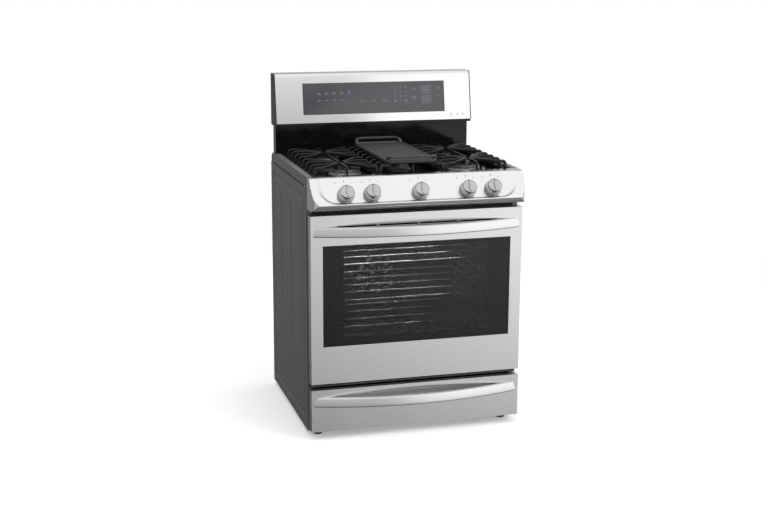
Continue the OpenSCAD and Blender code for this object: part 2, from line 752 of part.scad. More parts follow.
// Turns +z to the console face's outward normal and +y to up the face
module on_console(z, out = 0) {
    y = console_foot + (z - console_low) * tan(console_tilt);
    translate([0, y, z]) rotate([90 - console_tilt, 0, 0]) translate([0, 0, out]) children();
}
touch_tall = (touch_high - touch_low) / cos(console_tilt);
module console_panel() {
    color(steel) place() difference() {
        along_x(-console_half, console_half) console_section(0);
        along_x(-console_half - 1, console_half + 1) console_section(-sheet);
        wide(console_half + 1, [console_foot + sheet, console_low - 1], [console_back - sheet,
            console_low + sheet]);
        on_console(touch_low, -6) linear_extrude(12)
            soft_square([-touch_half, 0], [touch_half, touch_tall], 2);
    }
}
module touch_glass() {
    color([0.12, 0.13, 0.15]) place() {
        on_console(touch_low, -3) linear_extrude(3.4)
            soft_square([-touch_half + 0.2, 0.2], [touch_half - 0.2, touch_tall - 0.2], 2);
        on_console(touch_low, -5) linear_extrude(2)
            soft_square([-touch_half - 6, -6], [touch_half + 6, touch_tall + 6], 2);
    }
}
module console_end_caps() {
    color("black") place() both_sides() along_x(console_half, half_w) console_section(0);
}
module control_board() {
    color([0.1, 0.35, 0.2]) place() on_console(touch_low, -30) {
        translate([-200, 10, 0]) cube([400, 90, 1.6]);
        for (x = [-150:60:150]) translate([x - 15, 30, 1.6]) cube([30, 22, 9]);
        for (x = [-180, 180]) for (y = [18, 92]) translate([x, y, 1.6]) cylinder(r = 3, h = 23.4);
    }
}

module panel_screws() {
    color(galvanised) place() for (at = screw_at)
        translate([at[0], back_in + side_t, at[1]]) rotate([90, 0, 0]) {
            translate([0, 0, -2.5]) cylinder(r = 4.5, h = 2.5, $fn = 6);
            cylinder(r = 2, h = 10);
        }
}

// ---- Oven door ----

module hinge_receivers() {
    color(galvanised) place() both_sides() difference() {
        union() {
            for (x = [hinge_x - 13, hinge_x + 6]) {
                block([x, hinge_y, hinge_z - 10], [x + 7, oven_front + 4, hinge_z + 10]);
                translate([x, hinge_y, hinge_z]) rotate([0, 90, 0]) cylinder(r = 10, h = 7);
            }
            block([hinge_x - 13, oven_front + sheet, hinge_z - 14], [hinge_x + 13, oven_front + 50,
                hinge_z + 14]);
        }
        translate([hinge_x - 20, hinge_y, hinge_z]) rotate([0, 90, 0])
            cylinder(r = hinge_pin_r + running, h = 40);
        block([hinge_x - 6, 0, hinge_z - 20], [hinge_x + 6, oven_front + sheet - eps, hinge_z + 20]);
    }
}

module door_skin() {
    color(steel) place() difference() {
        wide(half_door, [0, door_bottom], [22, door_top]);
        wide(half_door - sheet, [sheet, door_bottom + sheet], [23, door_top - sheet]);
        wide(glass_half, [-1, glass_low], [3, glass_high]);
        for (s = [[-287, -148], [-140, -4], [5, 141], [152, 285]]) block([s[0], -1, 748], [s[1], 3, 754]);
        both_sides() block([hinge_x - 15, 8, door_bottom - 1], [hinge_x + 15, 23, hinge_z + 14]);
    }
}
module door_liner() {
    half = half_door - 3;
    low = door_bottom + 3;
    high = door_top - 3;
    color(enamel) place() difference() {
        union() {
            difference() {
                wide(half, [22, low], [door_t, high]);
                wide(half - sheet, [21, low + sheet], [door_t - sheet, high - sheet]);
            }
            // raised box that holds the glass and faces into the oven
            wide(oven_half_w - 14, [10, 336], [door_t - eps, 696]);
        }
        // the box's walls are sheet, open towards the outer glass
        difference() {
            wide(oven_half_w - 14 - sheet, [9, 336 + sheet], [door_t - sheet, 696 - sheet]);
            wide(window_half + 8 + sheet, [8, window_low - 8 - sheet], [door_t, window_high + 8 + sheet]);
        }
        wide(window_half, [5, window_low], [door_t + 1, window_high]);
        wide(window_half + 8, [16, window_low - 8], [20.2, window_high + 8]);
        wide(window_half + 8, [38, window_low - 8], [42.2, window_high + 8]);
        both_sides() block([hinge_x - 15, 8, low - 1], [hinge_x + 15, door_t + 1, hinge_z + 14]);
    }
}
module door_glass() {
    color([0.05, 0.05, 0.05]) place() wide(glass_half + 8, [sheet, glass_low - 8], [sheet + 4,
        glass_high + 8]);
}
module door_inner_glass() {
    color([0.2, 0.22, 0.22]) place() for (y = [16.1, 38.1])
        wide(window_half + 7.5, [y, window_low - 7.5], [y + 4, window_high + 7.5]);
}
// Bowed handle bar: an arc of a large ring, cut off by the face it stands on
module bow_handle(z) {
    front_r = (handle_half * handle_half + handle_reach * handle_reach) / (2 * handle_reach);
    angle = 2 * asin(handle_half / front_r) + 2;
    color(steel) place() intersection() {
        translate([0, front_r - handle_reach, z]) rotate([0, 0, -90 - angle / 2])
            rotate_extrude(angle = angle, $fn = 720)
                cut_square([front_r - handle_t, -handle_tall / 2], [front_r, handle_tall / 2], 4);
        wide(handle_half + 10, [-handle_reach - 1, z - 30], [0, z + 30]);
    }
}
module door_handle() { bow_handle(handle_z); }
module door_hinges() {
    color(galvanised) place() both_sides() {
        block([hinge_x - 4, 10, hinge_z - 8], [hinge_x + 4, door_t - 8, hinge_z + 110]);
        translate([hinge_x - 13.5, hinge_y, hinge_z]) rotate([0, 90, 0]) cylinder(r = hinge_pin_r, h = 27);
    }
}

// ---- Drawer ----

runner_z = 58;
runner_top = 98;
runner_x = 333.5;                     // inner face of each runner's web
runner_back = 630;
module drawer_runners() {
    color(galvanised) place() both_sides() {
        block([runner_x, oven_front + 4, base_low + 2], [runner_x + 2, runner_back, runner_top]);
        for (z = [runner_z, runner_top - 2])
            block([runner_x - 11.5, oven_front + 4, z], [runner_x + eps, runner_back, z + 2]);
    }
}
scoop_half_h = 32;
scoop_d = 14;
scoop_half_w = 315;
// Solid of revolution that hollows the drawer front behind its handle, grown by g
module scoop(g) {
    reach = (scoop_half_h * scoop_half_h + scoop_d * scoop_d) / (2 * scoop_d);
    back = reach - scoop_d;
    half_len = scoop_half_w / sqrt(1 - back / reach);
    big = (half_len * half_len + reach * reach) / (2 * reach);
    translate([0, -back, drawer_handle_z - 2]) rotate([0, 90, 0]) rotate_extrude($fn = 144)
        intersection() {
            translate([reach - big, 0]) circle(big + g, $fn = 720);
            translate([0, -half_door - 20]) square([reach + g + 1, 2 * half_door + 40]);
        }
}
drawer_t = 20;
module drawer_front() {
    color(steel) place() difference() {
        wide(half_door, [0, drawer_bottom], [drawer_t, drawer_top]);
        difference() {
            wide(half_door - sheet, [sheet, drawer_bottom + sheet], [drawer_t + 1, drawer_top - sheet]);
            scoop(sheet);
        }
        scoop(0);
    }
}
drawer_half = 318;
module drawer_box() {
    color([0.35, 0.35, 0.36]) place() {
        wide(half_door - 2, [drawer_t - 2, drawer_bottom + 2], [drawer_t - 0.5, drawer_top - 2]);
        difference() {
            wide(drawer_half, [drawer_t - 0.5, 36], [600, 150]);
            wide(drawer_half - sheet, [drawer_t + 1, 36 + sheet], [600 - sheet, 151]);
        }
        both_sides() block([drawer_half - eps, oven_front + 6, runner_z + 2.3], [331, 598, runner_z + 4.3]);
    }
}
module drawer_handle() { bow_handle(drawer_handle_z); }

side_panel_left();
side_panel_right();
back_panel();
upper_back_panel();
base_frame();
levelling_feet();
oven_liner();
oven_floor();
door_gasket();
insulation();
oven_burners();
fan_cover();
fan_motor();
convection_fan();
oven_lamp();
rack_lower();
rack_middle();
rack_upper();
cooktop();
cooktop_trims();
burner_heads();
burner_caps();
igniters();
burner_tubes();
grate_left();
grate_centre();
grate_right();
griddle();
control_panel();
knob_bezels();
gas_manifold();
gas_valves();
gas_regulator();
valve_stem_1();
valve_stem_2();
valve_stem_3();
valve_stem_4();
valve_stem_5();
knob_1();
knob_2();
knob_3();
knob_4();
knob_5();
backguard();
console_panel();
touch_glass();
console_end_caps();
control_board();
panel_screws();
hinge_receivers();
door_skin();
door_liner();
door_glass();
door_inner_glass();
door_handle();
door_hinges();
drawer_runners();
drawer_front();
drawer_box();
drawer_handle();
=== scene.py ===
"""Looks of a freestanding gas range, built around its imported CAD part.

Lengths are millimetres until place() turns them into the frame's metres. y is measured
from the oven door's front face, +X is the user's right and +Z is up.
"""

import json
import math

import bmesh
import bpy
from mathutils import Matrix, Vector


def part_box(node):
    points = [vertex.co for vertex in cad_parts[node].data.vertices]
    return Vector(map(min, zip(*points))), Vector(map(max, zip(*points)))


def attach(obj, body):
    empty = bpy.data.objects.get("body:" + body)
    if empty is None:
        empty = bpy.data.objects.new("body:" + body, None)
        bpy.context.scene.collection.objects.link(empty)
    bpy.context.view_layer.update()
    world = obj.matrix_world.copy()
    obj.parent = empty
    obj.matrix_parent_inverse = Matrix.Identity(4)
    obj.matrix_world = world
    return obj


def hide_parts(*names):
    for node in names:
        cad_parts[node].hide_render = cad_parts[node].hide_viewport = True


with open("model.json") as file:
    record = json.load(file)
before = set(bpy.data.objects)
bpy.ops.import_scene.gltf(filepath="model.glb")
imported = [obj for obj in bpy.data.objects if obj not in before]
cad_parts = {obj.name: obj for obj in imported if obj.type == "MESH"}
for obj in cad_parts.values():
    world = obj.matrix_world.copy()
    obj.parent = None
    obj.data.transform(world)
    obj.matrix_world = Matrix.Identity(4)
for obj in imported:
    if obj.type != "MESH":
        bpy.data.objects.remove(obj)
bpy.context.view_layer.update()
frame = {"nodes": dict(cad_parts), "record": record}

MM = 0.001
DOOR_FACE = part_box("door_skin")[0].y


def place(x, y, z):
    """A point in the frame, from millimetres with y measured from the door's face."""
    return Vector((x * MM, DOOR_FACE + y * MM, z * MM))


def extent(node):
    """A CAD node's lowest and highest corner in millimetres, y from the door's face."""
    shift = Vector((0, DOOR_FACE, 0))
    low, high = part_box(node)
    return (low - shift) / MM, (high - shift) / MM


# ---- Camera, light and floor ----

CAMERA_AT = place(-1327.1, -4297.7, 1659.6)
CAMERA_YAW = 0.2734
CAMERA_PITCH = 0.2222
CAMERA_ROLL = 0.0042


def add_camera():
    camera = bpy.data.objects.new("camera", bpy.data.cameras.new("camera"))
    bpy.context.scene.collection.objects.link(camera)
    yaw, pitch, roll = CAMERA_YAW, CAMERA_PITCH, CAMERA_ROLL
    ahead = Vector((math.sin(yaw) * math.cos(pitch), math.cos(yaw) * math.cos(pitch), -math.sin(pitch)))
    right = Vector((math.cos(yaw), -math.sin(yaw), 0))
    up = right.cross(ahead)
    side = math.cos(roll) * right + math.sin(roll) * up
    top = math.cos(roll) * up - math.sin(roll) * right
    turn = Matrix((side, top, -ahead)).transposed()
    camera.matrix_world = Matrix.Translation(CAMERA_AT) @ turn.to_4x4()
    camera.data.sensor_width = 36
    camera.data.lens = 63.01
    bpy.context.scene.camera = camera


def add_panel_light(name, at, towards, size, power, mirrored=False):
    """A soft box that faces a point, and that shiny surfaces show only where mirrored."""
    data = bpy.data.lights.new(name, "AREA")
    data.shape = "RECTANGLE"
    data.size, data.size_y = size
    data.energy = power
    light = bpy.data.objects.new(name, data)
    light.location = at
    light.rotation_mode = "QUATERNION"
    light.rotation_quaternion = (Vector(towards) - Vector(at)).to_track_quat("-Z", "Y")
    light.visible_glossy = mirrored
    bpy.context.scene.collection.objects.link(light)


def add_world():
    """A studio seen as white, lit from above and the front right and dark towards the floor."""
    world = bpy.data.worlds.new("studio")
    bpy.context.scene.world = world
    world.use_nodes = True
    nodes, links = world.node_tree.nodes, world.node_tree.links

    def eased_range(value, start, end, low, high):
        """low up to start, high from end on. low may be another node's output."""
        node = nodes.new("ShaderNodeMapRange")
        node.interpolation_type = "SMOOTHSTEP"
        node.inputs["From Min"].default_value = start
        node.inputs["From Max"].default_value = end
        if isinstance(low, float):
            node.inputs["To Min"].default_value = low
        else:
            links.new(low, node.inputs["To Min"])
        node.inputs["To Max"].default_value = high
        links.new(value, node.inputs["Value"])
        return node.outputs["Result"]

    def product(first, second):
        node = nodes.new("ShaderNodeMath")
        node.operation = "MULTIPLY"
        links.new(first, node.inputs[0])
        links.new(second, node.inputs[1])
        return node.outputs[0]

    where = nodes.new("ShaderNodeTexCoord")
    parts = nodes.new("ShaderNodeSeparateXYZ")
    links.new(where.outputs["Generated"], parts.inputs[0])
    across, back, up = parts.outputs
    from_right = eased_range(across, 0.12, 0.33, 0.55, 1.36)
    overhead = eased_range(up, 0.0, 0.5, from_right, 1.1)
    above_floor = eased_range(up, -0.4, -0.18, 0.2, 1.04)
    from_front = eased_range(back, -0.35, 0.35, 1.0, 0.45)
    lit = nodes["Background"]
    links.new(product(product(overhead, above_floor), from_front), lit.inputs["Strength"])
    lit.inputs["Color"].default_value = (1, 1, 1, 1)
    seen = nodes.new("ShaderNodeBackground")
    seen.inputs["Color"].default_value = (1, 1, 1, 1)
    path = nodes.new("ShaderNodeLightPath")
    either = nodes.new("ShaderNodeMixShader")
    links.new(path.outputs["Is Camera Ray"], either.inputs["Fac"])
    links.new(lit.outputs[0], either.inputs[1])
    links.new(seen.outputs[0], either.inputs[2])
    links.new(either.outputs[0], nodes["World Output"].inputs["Surface"])


def add_floor():
    reach = 2.6
    mesh = bpy.data.meshes.new("floor")
    turns = [2 * math.pi * i / 96 for i in range(96)]
    mesh.from_pydata([(reach * math.cos(t), reach * math.sin(t), 0) for t in turns], [], [range(96)])
    floor = bpy.data.objects.new("floor", mesh)
    bpy.context.scene.collection.objects.link(floor)
    white = surface("floor_white", 0.93, 0.95, 3, roughness=(0.75, 0.85))
    shader = white.node_tree.nodes["Principled BSDF"]
    shader.inputs["Emission Color"].default_value = (1, 1, 1, 1)
    shader.inputs["Emission Strength"].default_value = 0.3
    mesh.materials.append(white)
    floor.visible_glossy = False
    floor.visible_diffuse = False


# ---- Materials ----


def grey(value, tint=(1, 1, 1)):
    return (value * tint[0], value * tint[1], value * tint[2], 1)


def bare_material(name, **values):
    """A material with one Principled shader, whose sockets are set by name."""
    material = bpy.data.materials.new(name)
    material.use_nodes = True
    shader = material.node_tree.nodes["Principled BSDF"]
    for socket, value in values.items():
        shader.inputs[socket.replace("_", " ").title().replace("Ior", "IOR")].default_value = value
    return material, shader


def texture(tree, kind, scale, stretch=(1, 1, 1), **values):
    """A texture in the object's own space, stretched along an axis by a small factor there."""
    where = tree.nodes.new("ShaderNodeTexCoord")
    mapping = tree.nodes.new("ShaderNodeMapping")
    mapping.inputs["Scale"].default_value = stretch
    node = tree.nodes.new(kind)
    node.inputs["Scale"].default_value = scale
    for socket, value in values.items():
        node.inputs[socket.title()].default_value = value
    tree.links.new(where.outputs["Object"], mapping.inputs["Vector"])
    tree.links.new(mapping.outputs["Vector"], node.inputs["Vector"])
    return node


def ranged(tree, source, low, high):
    """The middle of a texture's values, spread over low to high."""
    node = tree.nodes.new("ShaderNodeMapRange")
    node.inputs["From Min"].default_value = 0.3
    node.inputs["From Max"].default_value = 0.7
    node.inputs["To Min"].default_value = low
    node.inputs["To Max"].default_value = high
    tree.links.new(source, node.inputs["Value"])
    return node.outputs["Result"]


def two_tones(tree, source, dark, light, start=0.3, end=0.7):
    ramp = tree.nodes.new("ShaderNodeValToRGB")
    ramp.color_ramp.elements[0].position = start
    ramp.color_ramp.elements[0].color = dark
    ramp.color_ramp.elements[1].position = end
    ramp.color_ramp.elements[1].color = light
    tree.links.new(source, ramp.inputs[0])
    return ramp.outputs[0]


def add_bump(tree, shader, source, height, strength=1.0):
    bump = tree.nodes.new("ShaderNodeBump")
    bump.inputs["Distance"].default_value = height * MM
    bump.inputs["Strength"].default_value = strength
    tree.links.new(source, bump.inputs["Height"])
    tree.links.new(bump.outputs["Normal"], shader.inputs["Normal"])


def surface(name, dark, light, scale, roughness, bump=0.0, stretch=(1, 1, 1), tint=(1, 1, 1), **values):
    """A finish whose colour, roughness and height follow one fine grain and one broad mottle."""
    material, shader = bare_material(name, **values)
    tree = material.node_tree
    fine = texture(tree, "ShaderNodeTexNoise", scale, stretch, detail=4).outputs["Fac"]
    broad = texture(tree, "ShaderNodeTexNoise", 5, detail=2).outputs["Fac"]
    mixed = tree.nodes.new("ShaderNodeMath")
    mixed.operation = "MULTIPLY_ADD"
    mixed.inputs[1].default_value = 0.3
    tree.links.new(broad, mixed.inputs[0])
    scaled = tree.nodes.new("ShaderNodeMath")
    scaled.operation = "MULTIPLY"
    scaled.inputs[1].default_value = 0.7
    tree.links.new(fine, scaled.inputs[0])
    tree.links.new(scaled.outputs[0], mixed.inputs[2])
    colour = two_tones(tree, mixed.outputs[0], grey(dark, tint), grey(light, tint))
    tree.links.new(colour, shader.inputs["Base Color"])
    tree.links.new(ranged(tree, mixed.outputs[0], *roughness), shader.inputs["Roughness"])
    if bump:
        add_bump(tree, shader, fine, bump)
    return material


def brushed(name, dark, light, roughness, tint=(1, 1, 1), along=(0.02, 1, 1)):
    """Metal with a fine grain drawn out along one direction."""
    return surface(name, dark, light, 900, roughness, 0.004, along, tint, metallic=1.0)


def worn_iron(name, dark, worn, roughness, scale, bump, **values):
    """Cast metal with a pebbled skin, rubbed paler along its edges."""
    material = surface(name, dark * 0.8, dark, scale, roughness, bump, **values)
    tree = material.node_tree
    shader = tree.nodes["Principled BSDF"]
    under = shader.inputs["Base Color"].links[0].from_socket
    edge = tree.nodes.new("ShaderNodeNewGeometry")
    mask = tree.nodes.new("ShaderNodeMapRange")
    mask.inputs["From Min"].default_value = 0.52
    mask.inputs["From Max"].default_value = 0.62
    tree.links.new(edge.outputs["Pointiness"], mask.inputs["Value"])
    mix = tree.nodes.new("ShaderNodeMix")
    mix.data_type = "RGBA"
    mix.inputs["B"].default_value = grey(worn)
    tree.links.new(mask.outputs["Result"], mix.inputs["Factor"])
    tree.links.new(under, mix.inputs["A"])
    tree.links.new(mix.outputs["Result"], shader.inputs["Base Color"])
    return material


def spangled(name, dark, light, roughness):
    """Hot-dipped zinc: flat crystals of slightly different greys."""
    material, shader = bare_material(name, metallic=1.0)
    tree = material.node_tree
    cells = texture(tree, "ShaderNodeTexVoronoi", 140).outputs["Color"]
    split = tree.nodes.new("ShaderNodeSeparateColor")
    tree.links.new(cells, split.inputs[0])
    colour = two_tones(tree, split.outputs[0], grey(dark), grey(light), 0, 1)
    tree.links.new(colour, shader.inputs["Base Color"])
    tree.links.new(ranged(tree, split.outputs[1], *roughness), shader.inputs["Roughness"])
    return material


def speckled_enamel(name):
    """Oven enamel: dark grey with a scatter of fine pale specks."""
    material, shader = bare_material(name, coat_weight=0.4, coat_roughness=0.08)
    tree = material.node_tree
    specks = texture(tree, "ShaderNodeTexVoronoi", 420).outputs["Distance"]
    colour = two_tones(tree, specks, grey(0.22, (0.9, 0.95, 1.1)), grey(0.022), 0.08, 0.2)
    tree.links.new(colour, shader.inputs["Base Color"])
    mottle = texture(tree, "ShaderNodeTexNoise", 30, detail=3).outputs["Fac"]
    tree.links.new(ranged(tree, mottle, 0.22, 0.34), shader.inputs["Roughness"])
    add_bump(tree, shader, mottle, 0.1)
    return material


def braid(name):
    """Woven glass-fibre sleeve, in fine crossed ribs."""
    material, shader = bare_material(name)
    tree = material.node_tree
    weave = texture(tree, "ShaderNodeTexWave", 260, (1, 1, 1), distortion=2).outputs["Fac"]
    colour = two_tones(tree, weave, grey(0.05), grey(0.22, (1, 0.97, 0.9)))
    tree.links.new(colour, shader.inputs["Base Color"])
    tree.links.new(ranged(tree, weave, 0.7, 0.95), shader.inputs["Roughness"])
    add_bump(tree, shader, weave, 0.5)
    return material


def board(name):
    """Circuit board: green lacquer over a faint pattern of tracks."""
    material, shader = bare_material(name, coat_weight=0.3)
    tree = material.node_tree
    tracks = texture(tree, "ShaderNodeTexBrick", 60).outputs["Fac"]
    colour = two_tones(tree, tracks, (0.012, 0.1, 0.03, 1), (0.03, 0.22, 0.07, 1), 0, 1)
    tree.links.new(colour, shader.inputs["Base Color"])
    tree.links.new(ranged(tree, tracks, 0.3, 0.45), shader.inputs["Roughness"])
    return material


def pane(name, colour, alpha, ior, scale=6):
    """Glass that shows what is behind it by its alpha, with a faint waviness in its gloss."""
    material, shader = bare_material(name, alpha=alpha, ior=ior)
    tree = material.node_tree
    wave = texture(tree, "ShaderNodeTexNoise", scale, detail=2).outputs["Fac"]
    tree.links.new(two_tones(tree, wave, grey(colour * 0.85), grey(colour)), shader.inputs["Base Color"])
    tree.links.new(ranged(tree, wave, 0.02, 0.05), shader.inputs["Roughness"])
    return material


MATERIALS = {
    "painted_side": surface("painted_side", 0.12, 0.15, 700, (0.36, 0.46), 0.03, tint=(1, 1, 1.02)),
    "stainless": brushed("stainless", 0.68, 0.74, (0.22, 0.3)),
    "panel_steel": brushed("panel_steel", 0.74, 0.80, (0.18, 0.25)),
    "handle_steel": brushed("handle_steel", 0.68, 0.76, (0.28, 0.36)),
    "oven_enamel": speckled_enamel("oven_enamel"),
    "black_enamel": surface("black_enamel", 0.003, 0.006, 40, (0.08, 0.14), 0.05, specular_ior_level=0.25),
    "cast_iron": worn_iron("cast_iron", 0.005, 0.02, (0.24, 0.34), 500, 0.08, specular_ior_level=0.35),
    "griddle_coat": worn_iron("griddle_coat", 0.035, 0.08, (0.4, 0.5), 350, 0.06),
    "galvanised": spangled("galvanised", 0.45, 0.62, (0.35, 0.5)),
    "drawer_paint": surface("drawer_paint", 0.09, 0.12, 500, (0.4, 0.5), 0.03),
    "burner_steel": surface("burner_steel", 0.4, 0.5, 200, (0.35, 0.5), 0.02, metallic=1.0),
    "burner_alloy": surface("burner_alloy", 0.28, 0.42, 300, (0.38, 0.52), 0.06, metallic=1.0),
    "valve_brass": surface(
        "valve_brass", 0.55, 0.72, 120, (0.3, 0.45), 0.02, tint=(1, 0.78, 0.42), metallic=1.0
    ),
    "stem_steel": brushed("stem_steel", 0.6, 0.7, (0.2, 0.3), along=(1, 1, 0.1)),
    "knob_chrome": brushed("knob_chrome", 0.44, 0.52, (0.12, 0.18), along=(1, 1, 0.3)),
    "rack_wire": surface("rack_wire", 0.62, 0.75, 150, (0.18, 0.3), 0.01, metallic=1.0),
    "door_glass": pane("door_glass", 0.012, 0.38, 1.45),
    "clear_glass": pane("clear_glass", 0.1, 0.08, 1.4),
    "touch_glass": surface(
        "touch_glass", 0.036, 0.042, 8, (0.12, 0.18), tint=(1, 1.02, 1.22), coat_weight=0.5
    ),
    "gasket_braid": braid("gasket_braid"),
    "mineral_wool": surface("mineral_wool", 0.5, 0.75, 90, (0.9, 1.0), 2.5, tint=(1, 0.92, 0.6)),
    "foot_plastic": surface("foot_plastic", 0.008, 0.014, 300, (0.4, 0.55), 0.05),
    "cap_plastic": surface("cap_plastic", 0.02, 0.03, 400, (0.3, 0.42), 0.04),
    "board_green": board("board_green"),
    "igniter_ceramic": surface("igniter_ceramic", 0.72, 0.82, 250, (0.25, 0.4), 0.03),
}
FRIT = surface("glass_frit", 0.006, 0.009, 60, (0.2, 0.3))
MARK_GREY = surface("mark_grey", 0.20, 0.24, 200, (0.4, 0.5))
MARK_LIGHT = surface("mark_light", 0.2, 0.26, 200, (0.4, 0.5), tint=(0.95, 0.97, 1.1))
MARK_LIT = surface("mark_lit", 0.2, 0.3, 200, (0.4, 0.5), tint=(0.5, 0.8, 1.6))
KEY_GREY = surface("key_grey", 0.10, 0.12, 200, (0.3, 0.4), tint=(1, 1, 1.12))


def finish_nodes():
    """Gives every CAD node the material of its slot in the record."""
    for entry in frame["record"]["subparts"]:
        for slot in frame["nodes"][entry["node"]].material_slots:
            slot.material = MATERIALS[entry["material_slot"]]


SOFT_EDGED = ["side_panel_left", "side_panel_right", "cooktop_trims", "door_skin", "cooktop", "backguard"]


def soften(name, width, segments=2):
    """Rounds a CAD node's sharp edges slightly, as folded sheet or a casting has them."""
    node = frame["nodes"][name]
    weld = node.modifiers.new("weld", "WELD")
    weld.merge_threshold = 1e-5
    bevel = node.modifiers.new("bevel", "BEVEL")
    bevel.width = width * MM
    bevel.segments = segments
    bevel.limit_method = "ANGLE"
    bevel.angle_limit = math.radians(40)
    bevel.use_clamp_overlap = True
    bevel.harden_normals = False


# ---- Mesh making ----


def piece(name, shells, slot, body, stands_for=(), sharp=38, material=None):
    """One object from closed shells of rings, riding on a body. A ring is a list of points."""
    verts, faces = [], []
    for rings in shells:
        first = len(verts)
        count = len(rings[0])
        loops = [[first + i * count + k for k in range(count)] for i in range(len(rings))]
        verts.extend(point for ring in rings for point in ring)
        for a, b in zip(loops, loops[1:]):
            for k in range(count):
                m = (k + 1) % count
                faces.append((a[k], a[m], b[m], b[k]))
        if (rings[0][0] - rings[-1][0]).length > 1e-7:
            faces.append(tuple(reversed(loops[0])))
            faces.append(tuple(loops[-1]))
    mesh = bpy.data.meshes.new(name)
    mesh.from_pydata(verts, [], faces)
    return adopt(name, mesh, slot, body, stands_for, sharp, material)


def adopt(name, mesh, slot, body, stands_for=(), sharp=38, material=None):
    """Cleans a mesh, shades it, and makes it a piece that rides on a body."""
    work = bmesh.new()
    work.from_mesh(mesh)
    bmesh.ops.remove_doubles(work, verts=work.verts, dist=1e-6)
    bmesh.ops.dissolve_degenerate(work, edges=work.edges, dist=1e-7)
    bmesh.ops.recalc_face_normals(work, faces=work.faces)
    work.to_mesh(mesh)
    work.free()
    mesh.shade_smooth()
    mesh.set_sharp_from_angle(angle=math.radians(sharp))
    mesh.materials.append(material or MATERIALS[slot])
    obj = bpy.data.objects.new(name, mesh)
    bpy.context.scene.collection.objects.link(obj)
    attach(obj, body)
    if stands_for:
        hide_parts(*stands_for)
    return obj


def arc(centre, radius, start, end, steps):
    """Points on a circle in a plane, from one angle to another in degrees."""
    turns = [math.radians(start + (end - start) * i / steps) for i in range(steps + 1)]
    return [(centre[0] + radius * math.cos(t), centre[1] + radius * math.sin(t)) for t in turns]


def soft_rectangle(low, high, radius, steps=5):
    """Outline of a rectangle with round corners, anticlockwise."""
    corners = [
        ((high[0] - radius, low[1] + radius), -90),
        ((high[0] - radius, high[1] - radius), 0),
        ((low[0] + radius, high[1] - radius), 90),
        ((low[0] + radius, low[1] + radius), 180),
    ]
    return [p for centre, start in corners for p in arc(centre, radius, start, start + 90, steps)]


def rounded_path(corners, radii, steps=6):
    """A polyline in space whose inner corners are rounded to the given radii."""
    path = [Vector(corners[0])]
    for before, corner, after, radius in zip(corners, corners[1:], corners[2:], radii):
        before, corner, after = Vector(before), Vector(corner), Vector(after)
        back, on = (before - corner).normalized(), (after - corner).normalized()
        half = back.angle(on) / 2
        shorter = min((before - corner).length, (after - corner).length)
        reach = min(radius / math.tan(half), 0.49 * shorter)
        start, end = corner + back * reach, corner + on * reach
        for i in range(steps + 1):
            t = i / steps
            path.append(start * (1 - t) ** 2 + corner * 2 * t * (1 - t) + end * t**2)
    path.append(Vector(corners[-1]))
    return path


def swept(path, section, normal):
    """Rings of a section along a path, whose second axis starts along normal and turns with the path."""
    rings = []
    normal = Vector(normal)
    previous = None
    for i, point in enumerate(path):
        ahead = path[min(i + 1, len(path) - 1)] - path[max(i - 1, 0)]
        ahead.normalize()
        if previous is not None:
            normal = previous.rotation_difference(ahead) @ normal
        normal = (normal - ahead * normal.dot(ahead)).normalized()
        previous = ahead
        side = ahead.cross(normal)
        rings.append([place(*(point + side * a + normal * b)) for a, b in section])
    return rings


def lathed(profile, axis_matrix, steps=72):
    """Rings round the local z axis, through points of radius and height."""
    rings = []
    for radius, height in profile:
        turns = [2 * math.pi * i / steps for i in range(steps)]
        local = [Vector((radius * math.cos(t), radius * math.sin(t), height)) for t in turns]
        rings.append([place(*(axis_matrix @ p)) for p in local])
    return rings


def eased(low, high, value):
    t = min(1.0, max(0.0, (value - low) / (high - low)))
    return t * t * (3 - 2 * t)


# ---- Control panel and knobs ----

KNOB_X = [sum(v.x for v in extent(f"knob_{i}")) / 2 for i in range(1, 6)]
FACE_LOW, FACE_HIGH = Vector((0, -36.2, 836)), Vector((0, 17, 912))
UP_FACE = (FACE_HIGH - FACE_LOW).normalized()
OUT = Vector((0, -UP_FACE.z, UP_FACE.y))
KNOB_UP = 31.7
KNOB_ROW = FACE_LOW + UP_FACE * KNOB_UP
PANEL_HALF = extent("control_panel")[1].x
PANEL_BACK = extent("control_panel")[1].y
PANEL_LOW, PANEL_TOP = extent("control_panel")[0].z, extent("control_panel")[1].z
RECESS_HALF = 346
RECESS_CORNER = 60
PROUD = 6
LIP = FACE_HIGH + OUT * PROUD


def on_face(x, out=0.0):
    """Local frame at a knob's centre: +z outward and +y up the face."""
    turn = Matrix((Vector((1, 0, 0)), UP_FACE, OUT)).transposed().to_4x4()
    return Matrix.Translation(KNOB_ROW + Vector((x, 0, 0)) + OUT * out) @ turn


def recess_depth(x, z):
    """How far the face is set back at a point, in 0 to 1: steep below, gently curved at the ends."""
    up = (z - KNOB_ROW.z) / UP_FACE.z
    past = Vector((abs(x) - RECESS_HALF + RECESS_CORNER, RECESS_CORNER - KNOB_UP - up))
    if past.x > 0 and past.y > 0:
        inside = RECESS_CORNER - past.length
        below = past.y / past.length
    else:
        inside = RECESS_CORNER - max(past.x, past.y)
        below = float(past.y > past.x)
    soft = 22 - 16 * below
    return eased(-0.55 * soft, 0.45 * soft, inside)


